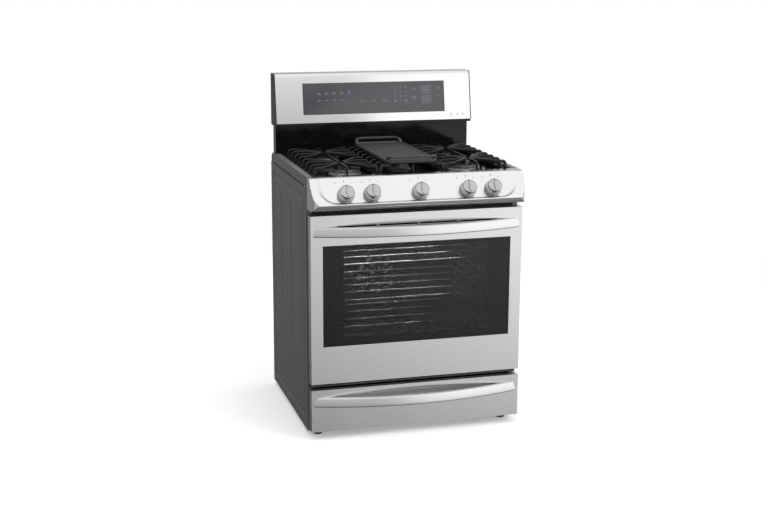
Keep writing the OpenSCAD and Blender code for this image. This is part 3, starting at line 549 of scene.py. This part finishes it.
def panel_section():
    """The panel's section in y and z, from the bottom's back edge round to the top's."""
    corners = [
        (0, PANEL_BACK, PANEL_LOW),
        (0, -6, PANEL_LOW),
        (0, -31, 813.5),
        (0, -43, 832),
        (0, LIP.y, LIP.z),
        (0, LIP.y + 6, PANEL_TOP),
        (0, PANEL_BACK, PANEL_TOP),
    ]
    rough = rounded_path(corners, [20, 24, 14, 5, 3], 8)
    fine = []
    for a, b in zip(rough, rough[1:]):
        parts = max(1, math.ceil((b - a).length / 1.8)) if b.y < LIP.y + 12 else 6
        fine += [a.lerp(b, i / parts) for i in range(parts)]
    return fine + [rough[-1]]


def add_control_panel():
    section = panel_section()
    corner_r = 40
    front = -46
    sway = PROUD / -OUT.y
    steps = [s * 2 for s in range(-189, 190)]
    xs = sorted(set([-PANEL_HALF, PANEL_HALF] + [x for x in steps if abs(x) > 290 or x % 10 == 0]))
    rings = []
    for x in xs:
        beyond = min(corner_r, max(0.0, abs(x) - (PANEL_HALF - corner_r)))
        plan = front + corner_r - math.sqrt(corner_r**2 - beyond**2)
        ring = []
        for p in section:
            y = p.y
            if y < LIP.y + 20:
                y += sway * recess_depth(x, p.z) * (1 - eased(LIP.y + 12, LIP.y + 20, p.y))
            ring.append(place(x, max(y, plan), p.z))
        rings.append(ring)
    piece("control_panel_shell", [rings], "panel_steel", "root", ["control_panel"], 50)


def knob_shells(index):
    """A satin knob: a bore for its stem, a skirt with a groove, a dished crown and a pointer blade."""
    low, high = 7, 31
    profile = [
        (0, 28.2), (4.2, 28.2), (4.2, low), (26, low), (27.4, low + 0.6), (27.9, low + 1.6),
        (27.9, low + 3.2), (27.3, low + 4.2), (25.9, low + 4.6), (25.5, low + 5.8), (25.7, low + 7),
        (25.5, high - 7), (25.0, high - 3.8), (23.6, high - 1.3), (21.6, high), (19.6, high - 0.1),
        (15, high - 0.9), (8, high - 1.5), (0, high - 1.6),
    ]
    frame_at = on_face(KNOB_X[index])
    body = lathed([(max(r, 0.01), h) for r, h in profile], frame_at)
    blade = []
    for v, half, top in [(-21, 3.0, 30), (-19, 3.8, 34.2), (-12, 3.9, 35.6), (0, 3.6, 36), (12, 3.0, 35.6),
                         (21, 2.2, 34.0), (25, 1.3, 30)]:
        soft = min(half * 0.6, 1.6)
        base = 28.6 if abs(v) < 15 else 26
        outline = [(-half, base), (half, base), (half, top - soft), (half - soft * 0.3, top - soft * 0.3),
                   (half - soft, top), (-half + soft, top), (-half + soft * 0.3, top - soft * 0.3),
                   (-half, top - soft)]
        blade.append([place(*(frame_at @ Vector((x, v, z)))) for x, z in outline])
    return [body, blade]


def add_knobs():
    for i in range(5):
        name = f"knob_{i + 1}"
        piece(f"{name}_cap", knob_shells(i), "knob_chrome", name, [name], 42)
    bezels = []
    for x in KNOB_X:
        profile = [(7, 0.2), (29.5, 0.2), (29.9, 0.8), (29.8, 1.5), (29.0, 2.6), (28.0, 3.2), (27.0, 3.1),
                   (26.0, 2.2), (23, 1.9), (7, 1.9), (7, 0.2)]
        bezels.append(lathed(profile, on_face(x)))
    piece("knob_bezel_rings", bezels, "knob_chrome", "root", ["knob_bezels"], 42)


def face_patch(frame_at, outline, low, high):
    """A thin raised mark on a face, from an outline in that face's plane."""
    return [[place(*(frame_at @ Vector((u, v, z)))) for u, v in outline] for z in (low, high)]


def disc(u, v, radius, steps=20):
    return [(u + a, v + b) for a, b in arc((0, 0), radius, 0, 360 - 360 / steps, steps - 1)]


def bar(u, v, width, height):
    return soft_rectangle((u - width / 2, v - height / 2), (u + width / 2, v + height / 2), height * 0.4, 3)


def add_panel_marks():
    """Plain marks above each knob: an index line, a dot and a short bar to either side."""
    shells = []
    for x in KNOB_X:
        frame_at = on_face(x)
        outlines = [bar(-31, 46, 3.6, 2.2), disc(-27, 48, 0.8), disc(11, 55.5, 0.8)]
        outlines += [bar(28, 45.5, 3.4, 2.2), soft_rectangle((-1, 47), (1, 57), 0.8, 3)]
        shells += [face_patch(frame_at, outline, -0.1, 0.15) for outline in outlines]
    piece("panel_marks", shells, "black_enamel", "root", material=MARK_GREY)


# ---- Console ----

CONSOLE_LOW = Vector((0, 560, 1029))
CONSOLE_HIGH = Vector((0, 590, 1203))
UP_CONSOLE = (CONSOLE_HIGH - CONSOLE_LOW).normalized()
CONSOLE_OUT = Vector((0, -UP_CONSOLE.z, UP_CONSOLE.y))
CONSOLE_TOP = extent("console_panel")[1].z
CONSOLE_BACK = extent("console_panel")[1].y
TOUCH_LOW, TOUCH_HIGH = 1061, 1176
TOUCH_HALF = 275


def on_console(height):
    """Local frame on the console's face at a height: +z outward and +y up the face."""
    turn = Matrix((Vector((1, 0, 0)), UP_CONSOLE, CONSOLE_OUT)).transposed().to_4x4()
    along = (height - CONSOLE_LOW.z) / UP_CONSOLE.z
    return Matrix.Translation(CONSOLE_LOW + UP_CONSOLE * along) @ turn


def console_section():
    corners = [
        (0, CONSOLE_BACK, CONSOLE_LOW.z),
        (0, CONSOLE_LOW.y, CONSOLE_LOW.z),
        (0, CONSOLE_HIGH.y, CONSOLE_HIGH.z),
        (0, CONSOLE_HIGH.y + 8, CONSOLE_TOP),
        (0, CONSOLE_BACK, CONSOLE_TOP),
        (0, CONSOLE_BACK, CONSOLE_LOW.z),
    ]
    return rounded_path(corners, [2.5, 3, 4, 3], 6)[:-1]


def add_console():
    section = console_section()
    inner = extent("console_panel")[1].x
    outer = extent("console_end_caps")[1].x
    middle = Vector((0, 620, 1120))

    def ring(x, inset=0.0):
        shrunk = [p + (middle - p).normalized() * inset for p in section]
        return [place(x, p.y, p.z) for p in shrunk]

    ends = [(0, 1.2), (1.2, 0), (2 * inner - 1.2, 0), (2 * inner, 1.2)]
    shell = [ring(-inner + a, b) for a, b in ends]
    piece("console_shell", [shell], "panel_steel", "root", ["console_panel"], 35)
    wide = outer - inner
    caps = []
    for side in (-1, 1):
        steps = [(0, 0.3), (wide - 1.4, 0.3), (wide - 0.4, 0.9), (wide, 2.2)]
        caps.append([ring(side * (inner + a), b) for a, b in steps])
    piece("console_caps", caps, "cap_plastic", "root", ["console_end_caps"], 35)


def add_touch_glass():
    tall = (TOUCH_HIGH - TOUCH_LOW) / UP_CONSOLE.z
    frame_at = on_console(TOUCH_LOW)
    rings = []
    for inset, level in [(0, -2), (0, 0.1), (0.25, 0.35), (0.6, 0.45)]:
        outline = soft_rectangle((-TOUCH_HALF + inset, inset), (TOUCH_HALF - inset, tall - inset), 2.5, 5)
        rings.append([place(*(frame_at @ Vector((u, v, level)))) for u, v in outline])
    piece("touch_pane", [rings], "touch_glass", "root", ["touch_glass"])


def label(u, v, width, rows=1):
    """Short bars that stand for a line or two of small print, with gaps like words."""
    shells = []
    for row in range(rows):
        left = u - width / 2
        for share in ([0.42, 0.5] if row == 0 else [0.3, 0.3, 0.28]):
            long = width * share * 0.9
            shells.append(bar(left + long / 2, v - 5.2 * row, long, 2.2))
            left += long + width * 0.06
    return shells


def digit_mesh(figure, height):
    """The outline of a generic figure, as a flat mesh."""
    curve = bpy.data.curves.new("figure", "FONT")
    curve.body = figure
    curve.size = height
    curve.align_x = "CENTER"
    curve.align_y = "CENTER"
    curve.extrude = 0.12
    maker = bpy.data.objects.new("figure", curve)
    bpy.context.scene.collection.objects.link(maker)
    bpy.context.view_layer.update()
    mesh = bpy.data.meshes.new_from_object(maker.evaluated_get(bpy.context.evaluated_depsgraph_get()))
    bpy.data.objects.remove(maker)
    return mesh


def add_console_marks():
    """Generic marks on the touch glass: label bars, a figure keypad, two keys and some dots."""
    frame_at = on_console(TOUCH_LOW)
    level = 0.45
    outlines = []
    for column in range(4):
        outlines += label(-213 + 29 * column, 80, 15, 2)
        outlines += label(-213 + 29 * column, 52, 15 + 3 * (column == 3))
    for u, width in [(-46, 15), (-3, 15), (42, 24)]:
        outlines += label(u, 46, width)
    outlines += label(155, 86, 20) + label(155, 57, 22, 2)
    for u in (81, 123):
        outlines += [bar(u, 46, 11, 2.2), bar(u, 41, 11, 2.2)]
    shells = [face_patch(frame_at, o, level, level + 0.12) for o in outlines]
    piece("touch_labels", shells, "touch_glass", "root", material=MARK_LIGHT)

    keys = [soft_rectangle((181, v - 16), (223, v + 16), 2, 4) for v in (84, 48)]
    shells = [face_patch(frame_at, k, level, level + 0.1) for k in keys]
    piece("touch_keys", shells, "touch_glass", "root", material=KEY_GREY)
    faces = label(202, 84, 18) + label(202, 48, 22)
    shells = [face_patch(frame_at, o, level + 0.1, level + 0.2) for o in faces]
    piece("touch_key_labels", shells, "touch_glass", "root", material=MARK_LIGHT)
    lit = [face_patch(frame_at, o, level, level + 0.12) for o in (disc(-97, 82, 4.2), bar(-97, 73, 9, 2))]
    piece("touch_lit_mark", lit, "touch_glass", "root", material=MARK_LIT)
    sizes = [(90, 3), (82, 1.6), (59, 2)]
    dots = [face_patch(frame_at, disc(253, v, r), level, level + 0.12) for v, r in sizes]
    piece("touch_side_marks", dots, "touch_glass", "root", material=MARK_LIGHT)

    grid = [("1", 0, 0), ("2", 1, 0), ("3", 2, 0), ("4", 0, 1), ("5", 1, 1), ("6", 2, 1), ("7", 0, 2),
            ("8", 1, 2), ("9", 2, 2), ("0", 1, 3)]
    joined = bmesh.new()
    for figure, column, row in grid:
        mesh = digit_mesh(figure, 12)
        at = frame_at @ Matrix.Translation((81 + 21 * column, 95 - 17 * row, level + 0.1))
        for v in mesh.vertices:
            v.co = place(*(at @ v.co))
        joined.from_mesh(mesh)
        bpy.data.meshes.remove(mesh)
    mesh = bpy.data.meshes.new("keypad_figures")
    joined.to_mesh(mesh)
    joined.free()
    adopt("keypad_figures", mesh, "touch_glass", "root", material=MARK_LIGHT)

    low_face = on_console(1050)
    icons = [disc(u, 0, 2.6) for u in (300, 324)] + [bar(u, -4.5, 7, 1.4) for u in (300, 324, 346)]
    icons += [bar(346, 1, 5, 5)]
    shells = [face_patch(low_face, o, -0.1, 0.15) for o in icons]
    piece("console_marks", shells, "black_enamel", "root", material=MARK_GREY)


# ---- Door and drawer ----

RETURN_BACK = 43


def bow_handle(name, node, body, backing):
    """A bowed handle: a flat bar with a crowned face and soft edges, cut where it meets the panel."""
    low, high = extent(node)
    reach, half, level = -low.y, high.x, (low.z + high.z) / 2
    tall, thick = high.z - low.z, 14
    radius = (half**2 + reach**2) / (2 * reach)
    over = math.degrees(math.asin(half / radius)) + 1.5
    lean = 2.6
    section = [(-thick, -tall / 2 + 6), (-thick + 3, -tall / 2 + 1), (-thick + 7, -tall / 2)]
    section += [(x - 3.4, y - tall / 2 + 3.4) for x, y in arc((0, 0), 3.4, -90, 5, 6)]
    shares = [0.15 * i for i in range(1, 7)]
    section += [(-lean * s**1.5, -tall / 2 + 3.7 + (tall - 8) * s) for s in shares]
    section += [(x - lean - 3.4, y + tall / 2 - 3.4) for x, y in arc((0, 0), 3.4, 20, 90, 6)]
    section += [(-thick + 1.5, tall / 2), (-thick, tall / 2 - 1.5)]
    rings = []
    count = 120
    for i in range(count + 1):
        turn = math.radians(-over + 2 * over * i / count)
        ring = []
        for out, z in section:
            r = radius + out
            ring.append(place(r * math.sin(turn), radius - reach - r * math.cos(turn), level + z))
        rings.append(ring)
    obj = piece(name, [rings], "handle_steel", body, [node], 40)
    work = bmesh.new()
    work.from_mesh(obj.data)
    cut = bmesh.ops.bisect_plane(
        work,
        geom=work.verts[:] + work.edges[:] + work.faces[:],
        plane_co=place(0, backing, 0),
        plane_no=(0, 1, 0),
        clear_outer=True,
    )
    edges = [e for e in cut["geom_cut"] if isinstance(e, bmesh.types.BMEdge)]
    bmesh.ops.holes_fill(work, edges=edges)
    bmesh.ops.recalc_face_normals(work, faces=work.faces)
    work.to_mesh(obj.data)
    work.free()
    obj.data.set_sharp_from_angle(angle=math.radians(40))


def add_glass_frit():
    """Black print behind the door's outer glass, round the window."""
    low, high = extent("door_glass")
    inner = Vector((261, 0, 307 / 2))
    middle = (362 + 669) / 2
    outer = soft_rectangle((low.x + 0.5, low.z + 0.5), (high.x - 0.5, high.z - 0.5), 3, 6)
    hole = soft_rectangle((-inner.x, middle - inner.z), (inner.x, middle + inner.z), 5, 6)
    front, back = high.y + 0.1, high.y + 0.5
    rings = [(outer, front), (hole, front), (hole, back), (outer, back), (outer, front)]
    shells = [[[place(x, y, z) for x, z in ring] for ring, y in rings]]
    piece("glass_frit", shells, "door_glass", "door", material=FRIT)


def add_door_sides():
    """Steel returns that close the door's and the drawer's sides behind their front sheets."""
    for body, node in (("door", "door_skin"), ("drawer", "drawer_front")):
        low, high = extent(node)
        shells = []
        for side in (-1, 1):
            outline = soft_rectangle((high.x - 1.8, low.y + 18), (high.x - 0.4, RETURN_BACK), 0.4, 2)
            shells.append([[place(side * x, y, z) for x, y in outline] for z in (low.z + 2, high.z - 2)])
        piece(f"{body}_side_returns", shells, "stainless", body)


# ---- Cooktop ----

GRATE_TOP = extent("grate_left")[1].z
GRATE_LOW = extent("grate_left")[0].z
GRATE_FRONT, GRATE_BACK = extent("grate_left")[0].y, extent("grate_left")[1].y
BURNER_Y = (172, 430)
FINGER_Y = [84 + 62 * i for i in range(8)]
RAIL_Z = 908.5
FINGER_Z = GRATE_TOP - 5.8


def cast_section(width, height, radius=2.8):
    return soft_rectangle((-width / 2, -height / 2), (width / 2, height / 2), radius, 3)


def grate_shells(x0, x1):
    """A cast grate: a rail round its edge, fingers that rise from it and bend to each burner, and feet."""
    middle, half = (x0 + x1) / 2, (x1 - x0) / 2
    rail = cast_section(9, 10)
    finger = cast_section(7.4, 11.5)
    inset = 5
    xa, xb, ya, yb = x0 + inset, x1 - inset, GRATE_FRONT + inset, GRATE_BACK - inset
    shells = []
    round_edge = [(middle, ya), (xb, ya), (xb, yb), (xa, yb), (xa, ya), (middle, ya)]
    loop = [(x, y, RAIL_Z) for x, y in round_edge]
    shells.append(swept(rounded_path(loop, [18, 18, 18, 18]), rail, (0, 0, 1)))
    for y in FINGER_Y:
        burner = min(BURNER_Y, key=lambda b: abs(y - b))
        away = y - burner
        for side in (-1, 1):
            outer = middle + side * (half - 5)
            start = middle + side * (78 if abs(away) > 60 else 52)
            near = 20 if abs(away) > 60 else 13
            length = math.hypot(start - middle, away)
            tip = (middle + (start - middle) * near / length, burner + away * near / length, FINGER_Z)
            corners = [(outer, y, RAIL_Z - 2), (outer, y, FINGER_Z), (start, y, FINGER_Z), tip]
            path = rounded_path(corners, [11, 34])
            shells.append(swept(path, finger, (-side, 0, 0)))
    spine = cast_section(7, 11)
    for ends in [(GRATE_FRONT + inset, BURNER_Y[0] - 14), (GRATE_BACK - inset, BURNER_Y[1] + 14)]:
        towards = 1 if ends[0] < ends[1] else -1
        corners = [(middle, ends[0], RAIL_Z - 2), (middle, ends[0], FINGER_Z), (middle, ends[1], FINGER_Z)]
        shells.append(swept(rounded_path(corners, [12]), spine, (0, towards, 0)))
    between = [Vector((middle, BURNER_Y[0] + 14, FINGER_Z)), Vector((middle, BURNER_Y[1] - 14, FINGER_Z))]
    shells.append(swept([between[0].lerp(between[1], i / 8) for i in range(9)], spine, (0, 0, 1)))
    foot = cast_section(9.6, 11.6, 3)
    for x in (xa, xb):
        for y in (GRATE_FRONT + 14, GRATE_BACK - 14):
            shells.append(swept([Vector((x, y, GRATE_LOW)), Vector((x, y, RAIL_Z))], foot, (0, 1, 0)))
    return shells


def add_grates():
    for name in ("grate_left", "grate_centre", "grate_right"):
        low, high = extent(name)
        piece(f"{name}_casting", grate_shells(low.x, high.x), "cast_iron", name, [name], 45)


def add_griddle():
    low, high = extent("griddle")
    half = 92
    front, back = 76, 536
    top = GRATE_TOP + 14
    rings = []
    levels = [(3, GRATE_TOP), (0.8, GRATE_TOP + 2), (0, GRATE_TOP + 5), (0, top - 3), (0.9, top - 0.9),
              (2.6, top), (5, top), (6.6, top - 0.8), (8, top - 4), (10, top - 5)]
    for inset, z in levels:
        low_corner, high_corner = (-half + inset, front + inset), (half - inset, back - inset)
        outline = soft_rectangle(low_corner, high_corner, 24 - inset * 0.7, 8)
        rings.append([place(x, y, z) for x, y in outline])
    strap = cast_section(11, 9.6, 3.4)
    shells = [rings]
    for edge, out in ((front, -1), (back, 1)):
        end = low.y + 6 if out < 0 else high.y - 6
        corners = [(-84, edge - out * 34, top - 5), (-83, edge - out * 10, top + 8), (-74, end, top + 11),
                   (74, end, top + 11), (83, edge - out * 10, top + 8), (84, edge - out * 34, top - 5)]
        shells.append(swept(rounded_path(corners, [20, 22, 22, 20]), strap, (0, 0, 1)))
    piece("griddle_casting", shells, "griddle_coat", "griddle", ["griddle"], 45)


SIDE_BURNERS = [(-215, 172, 58), (215, 172, 58), (-215, 430, 46), (215, 430, 40)]
CENTRE_BURNER = (0, 300)
OVAL_R, OVAL_HALF = 34, 62
HEAD_TOP = extent("burner_heads")[1].z
HEAD_LOW = 901


def ported(outline_at, levels, ports):
    """Rings of a burner head whose side is notched by flame ports."""
    rings = []
    for radius, z, notch in levels:
        rings.append([place(x, y, z) for x, y in outline_at(radius, notch, ports)])
    return rings


def round_outline(cx, cy):
    def outline(radius, notch, ports):
        points = []
        for i in range(ports * 6):
            turn = 2 * math.pi * i / (ports * 6)
            r = radius - (notch if i % 6 in (2, 3) else 0)
            points.append((cx + r * math.cos(turn), cy + r * math.sin(turn)))
        return points

    return outline


def oval_outline(cx, cy, stretch):
    def outline(radius, notch, ports):
        points = []
        for i in range(ports * 6):
            turn = 2 * math.pi * i / (ports * 6)
            r = radius - (notch if i % 6 in (2, 3) else 0)
            shift = stretch if math.sin(turn) > 1e-9 else -stretch
            points.append((cx + r * math.cos(turn), cy + shift + r * math.sin(turn)))
        return points

    return outline


def add_burners():
    heads, caps = [], []
    burners = [(round_outline(x, y), r, HEAD_LOW) for x, y, r in SIDE_BURNERS]
    burners.append((oval_outline(*CENTRE_BURNER, OVAL_HALF), OVAL_R + 6, 899))
    for outline, r, base in burners:
        ports = 36 if r > 50 else 28
        levels = [(r - 1, base, 0), (r, base + 0.8, 0), (r, base + 3, 0), (r - 1.2, base + 4.2, 0),
                  (r - 5, base + 6.5, 0), (r - 6, base + 8, 0), (r - 6.4, base + 9, 0),
                  (r - 6.4, base + 9.2, 2.6), (r - 6.6, HEAD_TOP - 3, 2.6), (r - 6.6, HEAD_TOP - 2.8, 0),
                  (r - 7, HEAD_TOP - 0.6, 0), (r - 9, HEAD_TOP, 0)]
        heads.append(ported(outline, levels, ports))
        crown = [(r - 7, HEAD_TOP, 0), (r - 4.6, HEAD_TOP + 0.4, 0), (r - 4, HEAD_TOP + 1.6, 0),
                 (r - 4.4, HEAD_TOP + 3.2, 0), (r - 6.4, HEAD_TOP + 4.8, 0), (r - 10, HEAD_TOP + 6, 0),
                 (r * 0.5, HEAD_TOP + 7.2, 0), (2, HEAD_TOP + 7.6, 0)]
        caps.append(ported(outline, crown, ports))
    piece("burner_head_castings", heads, "burner_alloy", "root", ["burner_heads"], 40)
    piece("burner_cap_castings", caps, "cast_iron", "root", ["burner_caps"], 40)


# ---- Put together ----


def add_lights():
    add_panel_light("key", (2.6, -3.2, 3.0), (0, 0, 0.8), (2.0, 2.0), 36)
    add_panel_light("top", (0.2, -0.2, 3.4), (0, 0, 0.9), (2.4, 1.6), 26)
    add_panel_light("oven", place(0, 120, 738), place(0, 340, 400), (0.45, 0.06), 3.6, mirrored=True)


def build():
    add_camera()
    add_world()
    add_floor()
    add_lights()
    finish_nodes()
    add_control_panel()
    add_knobs()
    add_panel_marks()
    add_console()
    add_touch_glass()
    add_console_marks()
    bow_handle("door_handle_bow", "door_handle", "door", -0.05)
    bow_handle("drawer_handle_bow", "drawer_handle", "drawer", -0.05)
    add_glass_frit()
    add_door_sides()
    add_grates()
    add_griddle()
    add_burners()
    for name in SOFT_EDGED:
        soften(name, 0.8)


bpy.context.scene.view_settings.view_transform = "Standard"
build()
